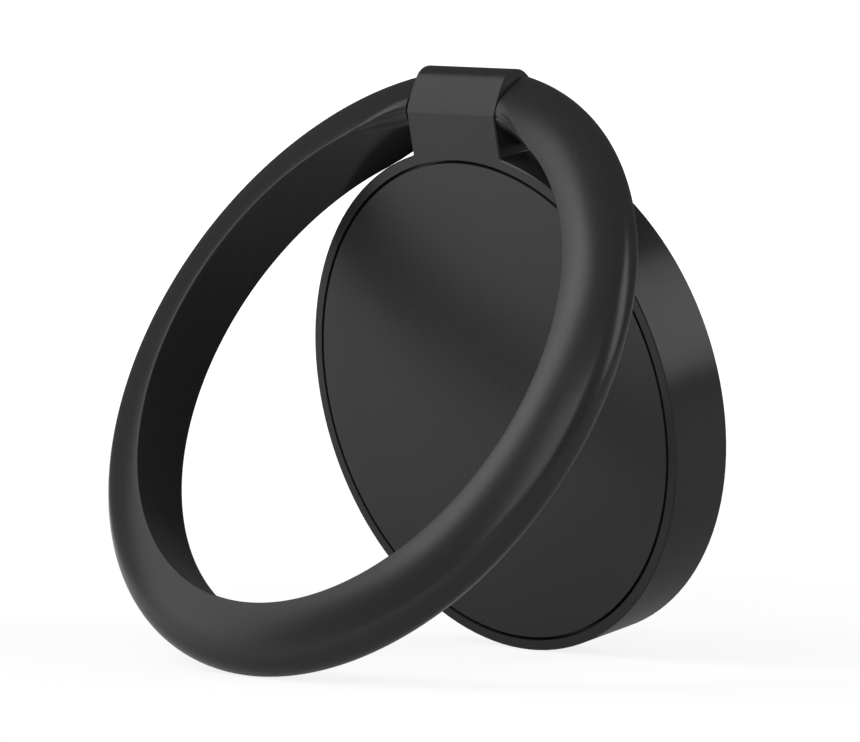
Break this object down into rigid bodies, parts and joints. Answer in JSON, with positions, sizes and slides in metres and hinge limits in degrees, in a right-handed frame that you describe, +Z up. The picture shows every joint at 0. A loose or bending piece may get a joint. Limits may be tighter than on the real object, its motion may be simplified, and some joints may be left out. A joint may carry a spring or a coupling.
{
  "type": "phone ring holder",
  "caption": "Stick-on phone grip: a hinged finger ring of D section on a round swivelling metal base with an adhesive pad, opened as a stand.",
  "frame": {"origin": "on the floor, under the middle of the part's box", "axes": "+X along the hinge axis, -Y towards the opened ring, +Z up; the part stands on the lower edge of the disc and on the ring"},
  "size_m": [0.0414, 0.0288, 0.0364],
  "materials": {
    "black_metal": "satin black coated zinc casting",
    "cover_metal": "satin black coated steel plate",
    "base_metal": "matt black coated zinc casting",
    "steel": "plain spring and pin steel",
    "acetal": "natural acetal",
    "foam_tape": "double-sided foam tape, dull"
  },
  "bodies": {
    "base": {"base_plate": "base_metal", "retaining_washer": "steel", "spring_washer": "steel", "glide_washer": "acetal", "adhesive_pad": "foam_tape"},
    "housing": {"housing": "black_metal", "cover_plate": "cover_metal", "hinge_bush": "acetal"},
    "ring": {"ring": "black_metal", "hinge_pin": "steel"}
  },
  "joints": [
    {"name": "swivel", "type": "hinge", "parent": "base", "child": "housing", "pos_m": [0, 0.00692, 0.01568], "axis": [0, -0.9807, -0.1956], "continuous": true},
    {"name": "ring_hinge", "type": "hinge", "parent": "housing", "child": "ring", "pos_m": [0, 0.00554, 0.03393], "axis": [-1, 0, 0], "range_deg": [-41.02, 138.98]}
  ]
}
